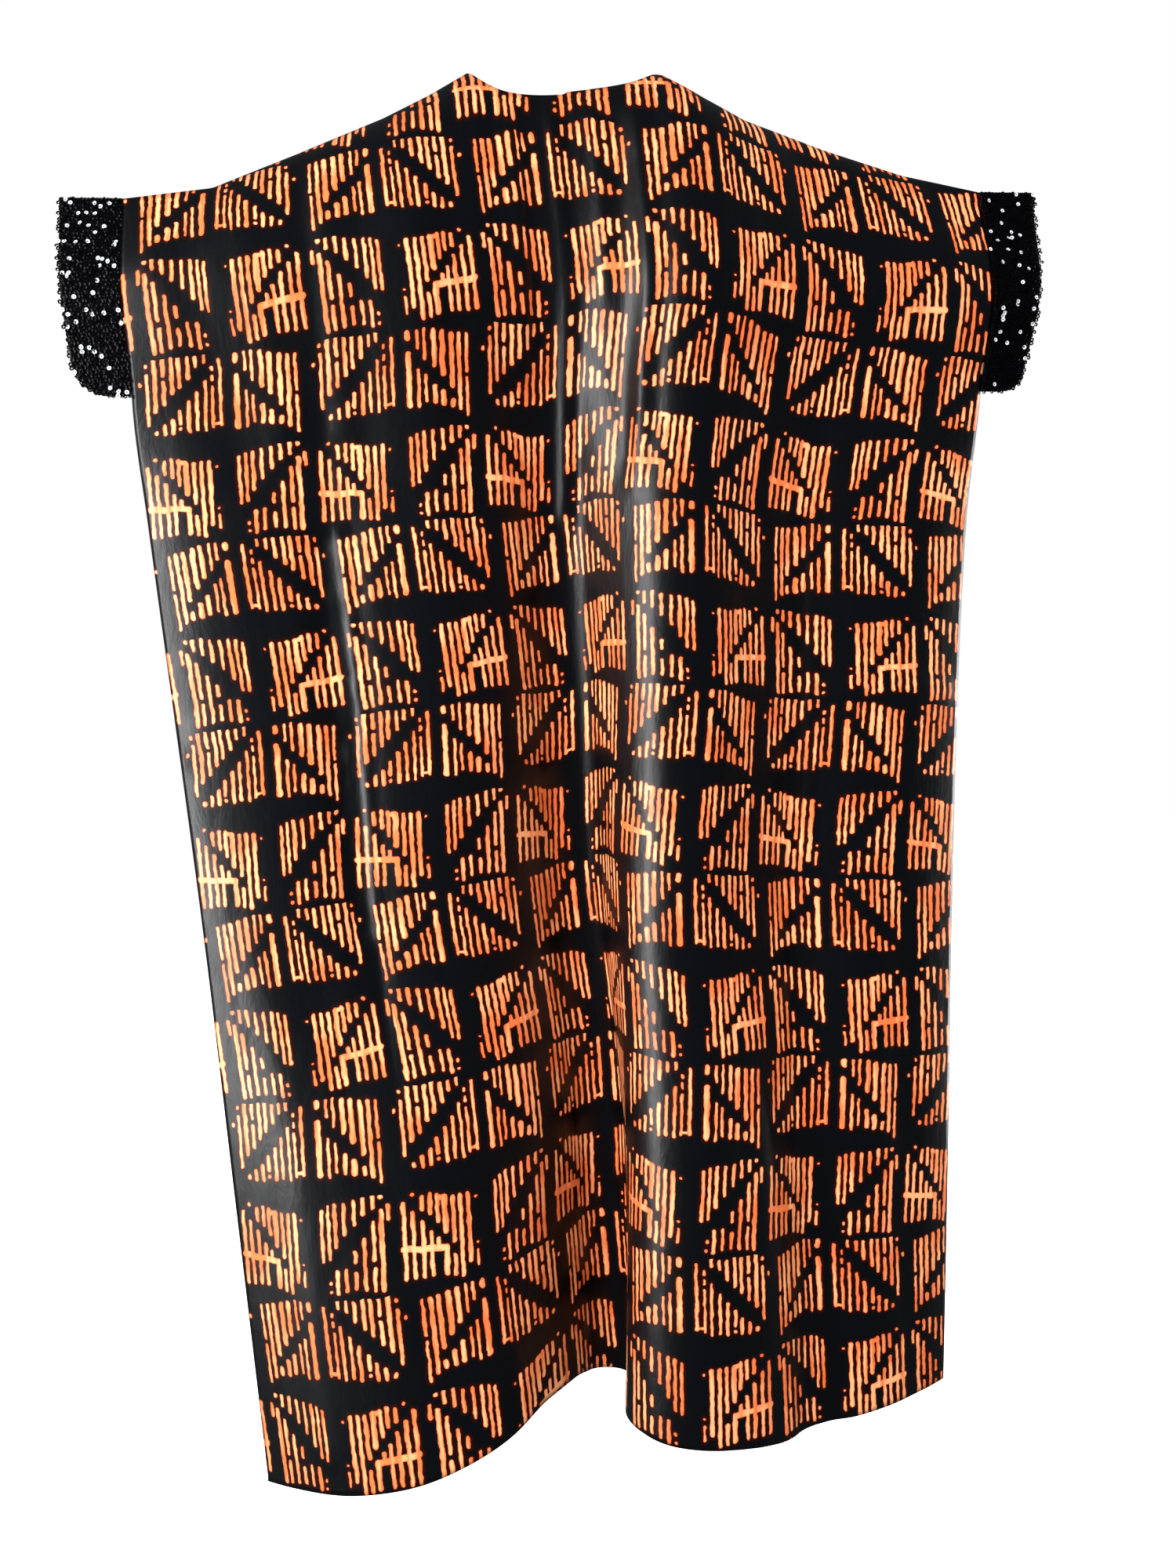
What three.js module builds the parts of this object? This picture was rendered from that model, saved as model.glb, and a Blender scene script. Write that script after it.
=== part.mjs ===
// A kaftan dress of printed satin, hollow, hanging as it does when it is worn.
// Millimetres, +Z up, +X to the right of the back view, -Y behind the wearer.
// The origin is midway between the two neck points, on the line of the shoulder seams.
//
// Each body panel is one width of cloth. A point on it is named by two distances on the cloth:
// "across", from the left side seam, and "down", from a weft thread just below the neckline.
// Level by level, the cloth's width is bent into folds between the side seams without stretching.

import * as THREE from "three";

// ---- Cloth and cut ----
const CLOTH = 1.5;
const SEAM_GAP = 0.3;
const PANEL_WIDTH = 949;
const CENTRE = PANEL_WIDTH / 2;
const LEFT_LINE = 191;
const RIGHT_LINE = PANEL_WIDTH - LEFT_LINE;
const STITCHED_DEPTH = -8;

// ---- Neck ----
const NECK_HALF = 98;
const NECK_LEFT = CENTRE - NECK_HALF;
const NECK_RIGHT = CENTRE + NECK_HALF;
const BACK_NECK = { drop: 34, power: 2.2 };
const FRONT_NECK = { drop: 155, power: 2.4 };

// ---- Arm openings and cuffs ----
const ARMHOLE_TOP = -127;
const ARMHOLE_BOTTOM = -342;
const CUFF_LENGTH_TOP = 65;
const CUFF_LENGTH_BOTTOM = 55;
const CUFF_CORNER = 38;
const CUFF_SHARES = [0, 0.25, 0.5, 0.75, 1];
const CUFF_CORNER_STEPS = [1.4, 0.9, 0.55, 0.3, 0.12, 0];

// ---- How the cloth leaves the shoulder ----
const SHOULDER_ROUND = 38;
const SHOULDER_SETTLE = 130;

// The shoulder seam and the datum weft thread, by cloth distance from the centre line:
// how far out the seam lies, its height on each side, and the height of the thread.
// The left shoulder hangs a little lower than the right.
const SHOULDER = [
  { fromCentre: 0, out: 0, left: 0, right: 0, thread: -92 },
  { fromCentre: NECK_HALF, out: 100, left: 0, right: 0, thread: -92 },
  { fromCentre: 144, out: 142, left: -28, right: -24, thread: -97 },
  { fromCentre: 198, out: 190, left: -54, right: -47, thread: -103 },
  { fromCentre: 295, out: 280, left: -94, right: -80, thread: -111 },
  { fromCentre: 386, out: 366, left: -130, right: -106, thread: -118 },
  { fromCentre: CENTRE, out: 455, left: -142, right: -123, thread: -124 },
];

// How far down the cloth the hem is cut: a little higher in the middle and on the right.
const HEM = [
  { across: 0, down: 1328 },
  { across: 90, down: 1326 },
  { across: 180, down: 1318 },
  { across: 250, down: 1305 },
  { across: 320, down: 1286 },
  { across: 370, down: 1287 },
  { across: 420, down: 1300 },
  { across: 480, down: 1311 },
  { across: 570, down: 1313 },
  { across: 650, down: 1312 },
  { across: 740, down: 1318 },
  { across: 800, down: 1314 },
  { across: 850, down: 1305 },
  { across: PANEL_WIDTH, down: 1294 },
];

// Plan of the dress at each level: where the side seams lie and how far the sleeves stand open.
// From -470 to -885 two long stitched lines hold both panels together.
const LEVELS = [
  { z: ARMHOLE_TOP, left: -455, right: 455, open: 0 },
  { z: -235, left: -455, right: 455, open: 24 },
  { z: ARMHOLE_BOTTOM, left: -454, right: 444, open: 0 },
  { z: -470, left: -443, right: 423, open: 0, stitched: { left: -258, right: 238 } },
  { z: -675, left: -425, right: 404, open: 0, stitched: { left: -246, right: 222 } },
  { z: -885, left: -407, right: 389, open: 0, stitched: { left: -236, right: 207 } },
  { z: -1145, left: -388, right: 373, open: 0 },
  { z: -1445, left: -366, right: 353, open: 0 },
];

// Folds of the back panel, a row for each place across the cloth where its heading is set.
// Headings are degrees from +X, positive away from the viewer of the back, at four levels.
// Rows marked "stitch" set the corner at a stitched line, and hold only where it is stitched.
const BACK_FOLDS = [
  { across: 0, shoulder: -20, chest: -16, knee: -30, hem: -34 },
  { across: 98, shoulder: -6, chest: 0, knee: -18, hem: -24 },
  { across: 190, shoulder: -4, chest: 14, knee: 12, hem: 12, stitch: true },
  { across: 192, shoulder: -4, chest: -22, knee: -26, hem: -26, stitch: true },
  { across: 230, shoulder: -3, chest: -12, knee: 10, hem: 14 },
  { across: 270, shoulder: -2, chest: -4, knee: 20, hem: 28 },
  { across: 332, shoulder: 8, chest: 16, knee: 38, hem: 46 },
  { across: 403, shoulder: 12, chest: 36, knee: 54, hem: 56 },
  { across: 440, shoulder: 2, chest: -10, knee: -6, hem: -2 },
  { across: 476, shoulder: -16, chest: -60, knee: -90, hem: -104 },
  { across: 515, shoulder: -20, chest: -59, knee: -88, hem: -98 },
  { across: 545, shoulder: -20, chest: -54, knee: -70, hem: -66 },
  { across: 570, shoulder: -14, chest: -38, knee: -50, hem: -52 },
  { across: 613, shoulder: 6, chest: 4, knee: -12, hem: -16 },
  { across: 663, shoulder: 20, chest: 36, knee: 22, hem: 14 },
  { across: 720, shoulder: 14, chest: 22, knee: 34, hem: 24 },
  { across: 752, shoulder: 4, chest: 6, knee: 42, hem: 46 },
  { across: 757, shoulder: 4, chest: 10, knee: 30, hem: 30, stitch: true },
  { across: 759, shoulder: 4, chest: -18, knee: -26, hem: -26, stitch: true },
  { across: 786, shoulder: 0, chest: -8, knee: -14, hem: 14 },
  { across: 814, shoulder: 2, chest: -2, knee: -10, hem: 2 },
  { across: 842, shoulder: 6, chest: 2, knee: 10, hem: 14 },
  { across: 949, shoulder: 20, chest: 16, knee: 30, hem: 36 },
];

// Folds of the front panel. Positive headings swing out in front of the wearer.
const FRONT_FOLDS = [
  { across: 0, shoulder: 18, chest: 16, knee: 10, hem: 10 },
  { across: 98, shoulder: 16, chest: 0, knee: 2, hem: 4 },
  { across: 190, shoulder: 18, chest: -14, knee: -14, hem: -14, stitch: true },
  { across: 192, shoulder: 18, chest: 44, knee: 44, hem: 44, stitch: true },
  { across: 223, shoulder: 17, chest: 38, knee: 52, hem: 60 },
  { across: 258, shoulder: 15, chest: 26, knee: 10, hem: 10 },
  { across: 298, shoulder: 12, chest: 4, knee: -54, hem: -62 },
  { across: 338, shoulder: 10, chest: 0, knee: -8, hem: -10 },
  { across: 383, shoulder: 8, chest: 16, knee: 56, hem: 62 },
  { across: 433, shoulder: 4, chest: 18, knee: 22, hem: 26 },
  { across: 463, shoulder: 0, chest: 4, knee: 0, hem: 0 },
  { across: 508, shoulder: -4, chest: -10, knee: -56, hem: -62 },
  { across: 553, shoulder: -8, chest: -18, knee: -12, hem: -14 },
  { across: 598, shoulder: -10, chest: -6, knee: 46, hem: 54 },
  { across: 648, shoulder: -12, chest: -2, knee: 14, hem: 16 },
  { across: 673, shoulder: -14, chest: -10, knee: -6, hem: -8 },
  { across: 713, shoulder: -16, chest: -34, knee: -52, hem: -60 },
  { across: 757, shoulder: -18, chest: -44, knee: -44, hem: -44, stitch: true },
  { across: 759, shoulder: -18, chest: 14, knee: 14, hem: 14, stitch: true },
  { across: 848, shoulder: -16, chest: 0, knee: -2, hem: -4 },
  { across: 949, shoulder: -18, chest: -16, knee: -10, hem: -10 },
];

// Levels at which the four columns of headings above hold.
const FOLD_LEVELS = { shoulder: ARMHOLE_TOP, chest: -480, knee: -1145, hem: -1445 };

// Columns of faces across each panel, stretch by stretch, closer together where the folds are.
const BACK_COLUMNS = [
  { to: LEFT_LINE, count: 8 },
  { to: NECK_LEFT, count: 11 },
  { to: 440, count: 5 },
  { to: NECK_RIGHT, count: 11 },
  { to: 668, count: 8 },
  { to: 720, count: 3 },
  { to: RIGHT_LINE, count: 3 },
  { to: 842, count: 8 },
  { to: PANEL_WIDTH, count: 5 },
];
const FRONT_COLUMNS = [
  { to: LEFT_LINE, count: 8 },
  { to: NECK_LEFT, count: 11 },
  { to: NECK_LEFT + 24, count: 4 },
  { to: NECK_RIGHT - 24, count: 12 },
  { to: NECK_RIGHT, count: 4 },
  { to: RIGHT_LINE, count: 11 },
  { to: PANEL_WIDTH, count: 8 },
];

// Rows of faces down each panel, as shares of the way from the top edge to the hem.
const SHOULDER_SHARES = [0, 0.037, 0.098, 0.196, 0.343, 0.538, 0.758];
const SKIRT_ROWS = 14;

// ---- Small tools ----
function between(a, b, share) {
  return a + (b - a) * share;
}

function lookUp(rows, key, value, at) {
  const next = rows.findIndex((row) => row[key] >= at);
  if (next === 0) {
    return rows[0][value];
  }
  if (next === -1) {
    return rows[rows.length - 1][value];
  }
  const a = rows[next - 1];
  const b = rows[next];
  return between(a[value], b[value], (at - a[key]) / (b[key] - a[key]));
}

// A smooth curve through values at falling heights that never overshoots them.
function heightCurve(heights, values) {
  const last = heights.length - 1;
  const steps = heights.slice(1).map((z, i) => (values[i + 1] - values[i]) / (z - heights[i]));
  const slopes = values.map((_, i) => {
    if (i === 0 || i === last) {
      return steps[i === 0 ? 0 : last - 1];
    }
    const product = steps[i - 1] * steps[i];
    return product <= 0 ? 0 : (2 * product) / (steps[i - 1] + steps[i]);
  });
  return (z) => {
    const at = Math.min(Math.max(z, heights[last]), heights[0]);
    const i = Math.max(0, Math.min(last - 1, heights.findIndex((h) => h <= at) - 1));
    const span = heights[i + 1] - heights[i];
    const u = (at - heights[i]) / span;
    const start = (2 * u ** 3 - 3 * u ** 2 + 1) * values[i] + (u ** 3 - 2 * u ** 2 + u) * span * slopes[i];
    const end = (3 * u ** 2 - 2 * u ** 3) * values[i + 1] + (u ** 3 - u ** 2) * span * slopes[i + 1];
    return start + end;
  };
}

// ---- Plan of a panel at one level ----
function headingsAt(folds, level) {
  const names = Object.keys(FOLD_LEVELS);
  const heights = names.map((name) => FOLD_LEVELS[name]);
  return folds.filter((row) => level.stitched || !row.stitch).map((row) => ({
    across: row.across,
    heading: heightCurve(heights, names.map((name) => row[name]))(level.z),
  }));
}

// Walks along the cloth from one distance to another and returns the path, 1 mm a step.
function walk(headings, from, to, strength) {
  const steps = Math.round(to - from);
  const path = [{ across: from, x: 0, y: 0 }];
  for (let i = 0; i < steps; i += 1) {
    const across = between(from, to, (i + 0.5) / steps);
    const heading = strength * THREE.MathUtils.degToRad(lookUp(headings, "across", "heading", across));
    const last = path[i];
    const step = (to - from) / steps;
    path.push({
      across: between(from, to, (i + 1) / steps),
      x: last.x + step * Math.cos(heading),
      y: last.y + step * Math.sin(heading),
    });
  }
  return path;
}

// Bends the cloth between two points: the folds are made stronger or softer until they fit.
function bend(headings, from, to, start, end) {
  const chord = Math.hypot(end.x - start.x, end.y - start.y);
  let soft = 0;
  let strong = 1.8;
  for (let i = 0; i < 30; i += 1) {
    const strength = (soft + strong) / 2;
    const tip = walk(headings, from, to, strength).pop();
    if (Math.hypot(tip.x, tip.y) > chord) {
      soft = strength;
    } else {
      strong = strength;
    }
  }
  const path = walk(headings, from, to, soft);
  const tip = path[path.length - 1];
  const reach = Math.hypot(tip.x, tip.y);
  const turn = Math.atan2(end.y - start.y, end.x - start.x) - Math.atan2(tip.y, tip.x);
  const scale = chord / reach;
  return path.map((p) => ({
    across: p.across,
    x: start.x + scale * (p.x * Math.cos(turn) - p.y * Math.sin(turn)),
    y: start.y + scale * (p.x * Math.sin(turn) + p.y * Math.cos(turn)),
  }));
}

function planAt(level, side) {
  const headings = headingsAt(side.folds, level);
  const half = side.sign * SEAM_GAP / 2;
  const seam = half + side.sign * level.open;
  const stops = [
    { across: 0, x: level.left, y: seam },
    { across: PANEL_WIDTH, x: level.right, y: seam },
  ];
  if (level.stitched) {
    const { left, right } = level.stitched;
    stops.splice(1, 0, { across: LEFT_LINE, x: left, y: half + STITCHED_DEPTH });
    stops.splice(2, 0, { across: RIGHT_LINE, x: right, y: half + STITCHED_DEPTH });
  }
  const path = [];
  for (let i = 0; i < stops.length - 1; i += 1) {
    path.push(...bend(headings, stops[i].across, stops[i + 1].across, stops[i], stops[i + 1]));
  }
  return path;
}

// ---- The two sides of the dress ----
const BACK = { sign: -1, folds: BACK_FOLDS, columns: BACK_COLUMNS, neck: BACK_NECK };
const FRONT = { sign: 1, folds: FRONT_FOLDS, columns: FRONT_COLUMNS, neck: FRONT_NECK };

// The ridge of the shoulders over a thread, and the top edge of the panel on or below it.
function topOf(side, across) {
  const fromCentre = Math.abs(across - CENTRE);
  const ridge = {
    x: Math.sign(across - CENTRE) * lookUp(SHOULDER, "fromCentre", "out", fromCentre),
    y: side.sign * SEAM_GAP / 2,
    z: lookUp(SHOULDER, "fromCentre", across < CENTRE ? "left" : "right", fromCentre),
  };
  const dip = 1 - Math.min(1, fromCentre / NECK_HALF) ** side.neck.power;
  return { ridge, edge: ridge.z - side.neck.drop * dip };
}

function hemHeight(across) {
  const fromCentre = Math.abs(across - CENTRE);
  const thread = lookUp(SHOULDER, "fromCentre", "thread", fromCentre);
  return thread - lookUp(HEM, "across", "down", across);
}

function columnsOf(side) {
  const list = [0];
  let from = 0;
  for (const stretch of side.columns) {
    for (let i = 1; i <= stretch.count; i += 1) {
      list.push(between(from, stretch.to, i / stretch.count));
    }
    from = stretch.to;
  }
  return list;
}

// The share of the way down at which the arm openings end, blended from side to side.
function armholeShare(side, across) {
  const [left, right] = [0, PANEL_WIDTH].map((end) => {
    const { edge } = topOf(side, end);
    return (edge - ARMHOLE_BOTTOM) / (edge - hemHeight(end));
  });
  return between(left, right, across / PANEL_WIDTH);
}

function sharesDown(side, across) {
  const armhole = armholeShare(side, across);
  const list = [...SHOULDER_SHARES, 1].map((share) => share * armhole);
  for (let i = 1; i <= SKIRT_ROWS; i += 1) {
    list.push(between(armhole, 1, i / SKIRT_ROWS));
  }
  return list;
}

// The inner face of a panel, as rows of points from the top edge to the hem.
function innerFace(side) {
  const plans = LEVELS.map((level) => planAt(level, side));
  const heights = LEVELS.map((level) => level.z);
  const columns = columnsOf(side).map((across) => ({
    ...topOf(side, across),
    hem: hemHeight(across),
    shares: sharesDown(side, across),
    x: heightCurve(heights, plans.map((plan) => lookUp(plan, "across", "x", across))),
    y: heightCurve(heights, plans.map((plan) => lookUp(plan, "across", "y", across))),
  }));
  return columns[0].shares.map((_, row) => columns.map((column) => {
    const z = between(column.edge, column.hem, column.shares[row]);
    const drop = column.ridge.z - z;
    const rounded = 1 - Math.exp(-drop / SHOULDER_ROUND);
    const settled = 1 - Math.exp(-drop / SHOULDER_SETTLE);
    return new THREE.Vector3(
      between(column.ridge.x, column.x(z), settled),
      between(column.ridge.y, column.y(z), rounded),
      z,
    );
  }));
}

// ---- Cloth walls ----
function normalAt(rows, i, j, wraps) {
  const across = rows[i].length;
  const left = wraps ? (j + across - 1) % across : Math.max(j - 1, 0);
  const right = wraps ? (j + 1) % across : Math.min(j + 1, across - 1);
  const up = rows[Math.max(i - 1, 0)][j];
  const low = rows[Math.min(i + 1, rows.length - 1)][j];
  const along = new THREE.Vector3().subVectors(rows[i][right], rows[i][left]);
  const down = new THREE.Vector3().subVectors(low, up);
  return down.cross(along).normalize();
}

// Thickens a face into a closed wall. "edge" may turn the step at the wall's own edges.
function wall(rows, { wraps = false, flip = 1, edge = (step) => step }) {
  const outer = rows.map((row, i) => row.map((point, j) => {
    const step = normalAt(rows, i, j, wraps).multiplyScalar(flip * CLOTH);
    return edge(step, i, j).add(point);
  }));
  const count = rows[0].length;
  const corners = [...rows.flat(), ...outer.flat()];
  const shift = rows.length * count;
  const faces = [];
  const quad = (a, b, c, d) => {
    const straight = corners[a].distanceTo(corners[c]) <= corners[b].distanceTo(corners[d]);
    faces.push(...(straight ? [a, b, c, a, c, d] : [b, c, d, b, d, a]));
  };
  const wide = wraps ? count : count - 1;
  for (let i = 0; i < rows.length - 1; i += 1) {
    for (let j = 0; j < wide; j += 1) {
      const a = i * count + j;
      const b = i * count + (j + 1) % count;
      quad(a, b, b + count, a + count);
      quad(b + shift, a + shift, a + count + shift, b + count + shift);
    }
  }
  for (let j = 0; j < wide; j += 1) {
    const next = (j + 1) % count;
    const low = shift - count;
    quad(next, j, j + shift, next + shift);
    quad(low + j, low + next, low + next + shift, low + j + shift);
  }
  for (let i = 0; i < rows.length - 1 && !wraps; i += 1) {
    const a = i * count;
    const b = a + count - 1;
    quad(a, a + count, a + count + shift, a + shift);
    quad(b + count, b, b + shift, b + count + shift);
  }
  return closedGeometry(corners, faces);
}

// Builds the geometry with its faces turned outwards.
function closedGeometry(corners, faces) {
  let volume = 0;
  for (let i = 0; i < faces.length; i += 3) {
    const [a, b, c] = [corners[faces[i]], corners[faces[i + 1]], corners[faces[i + 2]]];
    volume += a.dot(new THREE.Vector3().crossVectors(b, c));
  }
  const index = volume > 0 ? faces : faces.slice().reverse();
  const geometry = new THREE.BufferGeometry().setFromPoints(corners);
  geometry.setIndex(index);
  geometry.computeVertexNormals();
  return geometry;
}

// At the arm openings and side seams a panel's edge stays square to X, beside its neighbour.
function panelWall(side, rows) {
  const last = rows[0].length - 1;
  const edge = (step, i, j) => {
    if (j > 0 && j < last) {
      return step;
    }
    const flat = new THREE.Vector3(0, step.y, step.z);
    return flat.multiplyScalar(CLOTH ** 2 / flat.lengthSq());
  };
  return wall(rows, { flip: -side.sign, edge });
}

// ---- Cuffs ----
// A cuff is a short tube round the arm opening. Its section follows the two panels' edges.
function cuffLength(z) {
  const low = (ARMHOLE_TOP - z) / (ARMHOLE_TOP - ARMHOLE_BOTTOM);
  const corner = Math.max(0, CUFF_CORNER - (z - ARMHOLE_BOTTOM));
  const rounding = CUFF_CORNER - Math.sqrt(CUFF_CORNER ** 2 - corner ** 2);
  return between(CUFF_LENGTH_TOP, CUFF_LENGTH_BOTTOM, low) - rounding;
}

// Heights down an arm opening: the panels' own rows, and more round the cuff's lower corner.
function cuffHeights(edge) {
  const corner = CUFF_CORNER_STEPS.map((share) => ARMHOLE_BOTTOM + share * CUFF_CORNER);
  const high = edge.map((point) => point.z).filter((z) => z > corner[0] + 1);
  return [...high, ...corner];
}

function cuffWall(hand, faces) {
  const [back, front] = faces.map((rows) => {
    const edge = rows.slice(0, SHOULDER_SHARES.length + 1).map((row) => row[hand < 0 ? 0 : row.length - 1]);
    const rising = edge.slice().reverse();
    return cuffHeights(edge).map((z) => new THREE.Vector3(
      lookUp(rising, "z", "x", z),
      lookUp(rising, "z", "y", z),
      z,
    ));
  });
  const ring = [...back, ...front.slice(1, -1).reverse()];
  const rows = CUFF_SHARES.map((share) => ring.map((point) => {
    const out = point.x + hand * (SEAM_GAP + share * cuffLength(point.z));
    return new THREE.Vector3(out, point.y, point.z);
  }));
  return wall(rows, { wraps: true, flip: -hand });
}

// ---- The dress ----
const SATIN = { color: 0x15171b, roughness: 0.42, metalness: 0 };
const SEQUINS = { color: 0x08080a, roughness: 0.3, metalness: 0.2 };

function piece(name, geometry, finish) {
  const material = new THREE.MeshStandardMaterial(finish);
  const mesh = new THREE.Mesh(geometry, material);
  mesh.name = name;
  return mesh;
}

const dress = new THREE.Group();
const backFace = innerFace(BACK);
const frontFace = innerFace(FRONT);
dress.add(
  piece("back_panel", panelWall(BACK, backFace), SATIN),
  piece("front_panel", panelWall(FRONT, frontFace), SATIN),
  piece("cuff_left", cuffWall(-1, [backFace, frontFace]), SEQUINS),
  piece("cuff_right", cuffWall(1, [backFace, frontFace]), SEQUINS),
);

export default dress;
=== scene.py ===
"""A kaftan dress of printed satin with sequinned cuffs, hollow and hanging as it is worn.

Lengths in the tables are millimetres. "across" runs over a panel's cloth from the left side
seam, and "down" runs down it from a weft thread just below the neckline.
"""
import math

import bmesh
import bpy
import numpy as np
from mathutils import Matrix, Vector


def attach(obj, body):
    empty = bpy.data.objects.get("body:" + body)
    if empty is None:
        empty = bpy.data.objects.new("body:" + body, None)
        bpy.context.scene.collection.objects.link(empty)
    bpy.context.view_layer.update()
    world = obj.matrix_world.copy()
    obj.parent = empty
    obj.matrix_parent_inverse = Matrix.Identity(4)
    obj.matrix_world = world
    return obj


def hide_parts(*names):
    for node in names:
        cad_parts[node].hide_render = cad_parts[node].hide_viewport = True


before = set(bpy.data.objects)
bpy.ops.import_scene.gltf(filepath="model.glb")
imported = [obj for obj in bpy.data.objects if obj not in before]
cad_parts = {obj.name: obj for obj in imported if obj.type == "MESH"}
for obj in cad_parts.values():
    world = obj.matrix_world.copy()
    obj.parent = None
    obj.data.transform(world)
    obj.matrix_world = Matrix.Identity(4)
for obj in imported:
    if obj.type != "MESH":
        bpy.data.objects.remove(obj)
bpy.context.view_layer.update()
MM = 0.001

# ---- Back and front panels ----
# Two widths of printed polyester satin, sewn together along the shoulders and down the sides.
# Two long lines of stitching through both layers shape the body and leave a wing at each side.
# The cloth keeps its length across every fold, as it hangs.
PANEL_WIDTH = 949
CENTRE = PANEL_WIDTH / 2
NECK_HALF = 98
LEFT_LINE = 191
RIGHT_LINE = PANEL_WIDTH - LEFT_LINE
STITCHED_DEPTH = -8
STITCHED_FROM = 350
STITCHED_TO = 800
ARMHOLE_TOP = -127
ARMHOLE_BOTTOM = -342
# Below its seam the cloth rounds over the shoulder, then settles to the width of the body.
SHOULDER_ROUND = 38
SHOULDER_SETTLE = 130

# The shoulder seam and the datum thread, by cloth distance from the centre line. The left
# shoulder hangs a little lower than the right.
SHOULDER = {
    "from_centre": (0, 98, 144, 198, 295, 386, CENTRE),
    "out": (0, 100, 142, 190, 280, 366, 455),
    "left_seam": (-5, -5, -30, -55, -94, -130, -142),
    "right_seam": (-3, -3, -26, -48, -80, -106, -123),
    "thread": (-92, -92, -97, -103, -111, -118, -124),
}

# How far down the cloth the hem is cut: a little higher in the middle and on the right.
HEM = {
    "across": (0, 90, 180, 250, 320, 370, 420, 480, 570, 650, 740, 800, 850, PANEL_WIDTH),
    "down": (1328, 1326, 1318, 1305, 1286, 1287, 1300, 1311, 1313, 1312, 1318, 1314, 1305, 1294),
}
HEM_EASE = (-20, -10, 0, 10, 20)

# Where the side seams lie at each height, how far the sleeves stand open, and the stitched lines.
LEVELS = [
    # z, left seam, right seam, open, left line, right line
    (-127, -455, 455, 0, None, None),
    (-235, -455, 455, 24, None, None),
    (-342, -454, 444, 0, None, None),
    (-470, -443, 423, 0, -258, 238),
    (-675, -425, 404, 0, -246, 222),
    (-885, -407, 389, 0, -236, 207),
    (-1145, -388, 373, 0, None, None),
    (-1445, -366, 353, 0, None, None),
]
LEVEL_HEIGHTS = np.array([level[0] for level in LEVELS], float)

# Heights of the shoulder, the chest, the knee and the hem, where the folds are set.
FOLD_HEIGHTS = np.array([ARMHOLE_TOP, -480, -1145, -1445], float)


def smooth_down(heights, values, z):
    """A smooth curve through values at falling heights that never overshoots them."""
    values = np.asarray(values, float)
    steps = np.diff(values, axis=0) / np.diff(heights)[:, None]
    slopes = np.zeros_like(values)
    slopes[0], slopes[-1] = steps[0], steps[-1]
    product = steps[:-1] * steps[1:]
    total = np.where(product > 0, steps[:-1] + steps[1:], 1)
    slopes[1:-1] = np.where(product > 0, 2 * product / total, 0)
    at = np.clip(z, heights[-1], heights[0])
    i = np.clip(np.searchsorted(-heights, -at) - 1, 0, len(heights) - 2)
    column = np.arange(values.shape[1])
    span = heights[i + 1] - heights[i]
    u = (at - heights[i]) / span
    start = (2 * u**3 - 3 * u**2 + 1) * values[i, column]
    start += (u**3 - 2 * u**2 + u) * span * slopes[i, column]
    end = (3 * u**2 - 2 * u**3) * values[i + 1, column]
    return start + end + (u**3 - u**2) * span * slopes[i + 1, column]


def walk_cloth(headings, start, end, strength):
    """The path of the cloth between two distances across it, 1 mm a step."""
    count = round(end - start)
    step = (end - start) / count
    middles = start + (np.arange(count) + 0.5) * step
    angle = strength * np.radians(np.interp(middles, headings[0], headings[1]))
    x = np.concatenate([[0], np.cumsum(step * np.cos(angle))])
    y = np.concatenate([[0], np.cumsum(step * np.sin(angle))])
    return start + np.arange(count + 1) * step, x, y


# How far the headings may be strengthened, and how often the search for a fit is halved.
STRONGEST_FOLDS = 1.8
HALVINGS = 30


def bend_cloth(headings, a, b):
    """Bends the cloth from stop a to stop b: folds grow or soften until its width fits."""
    (start, ax, ay), (end, bx, by) = a, b
    chord = math.hypot(bx - ax, by - ay)
    soft, strong = 0.0, STRONGEST_FOLDS
    for _ in range(HALVINGS):
        strength = (soft + strong) / 2
        _, x, y = walk_cloth(headings, start, end, strength)
        if math.hypot(x[-1], y[-1]) > chord:
            soft = strength
        else:
            strong = strength
    across, x, y = walk_cloth(headings, start, end, soft)
    turn = math.atan2(by - ay, bx - ax) - math.atan2(y[-1], x[-1])
    scale = chord / math.hypot(x[-1], y[-1])
    c, s = scale * math.cos(turn), scale * math.sin(turn)
    return across, ax + c * x - s * y, ay + s * x + c * y


def plan_of(level, folds, sign):
    """The section of a panel at one level: distances across the cloth, x and y."""
    z, left, right, is_open, left_line, right_line = level
    rows = [row for row in folds if left_line or not row[5]]
    columns = np.array([row[1:5] for row in rows], float).T
    angles = smooth_down(FOLD_HEIGHTS, columns, np.full(len(rows), float(z)))
    headings = ([row[0] for row in rows], angles)
    seam = sign * is_open
    stops = [(0, left, seam), (PANEL_WIDTH, right, seam)]
    if left_line:
        lines = ((LEFT_LINE, left_line), (RIGHT_LINE, right_line))
        stops[1:1] = [(across, x, STITCHED_DEPTH) for across, x in lines]
    parts = [bend_cloth(headings, a, b) for a, b in zip(stops, stops[1:])]
    return [np.concatenate(part) for part in zip(*parts)]


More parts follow.
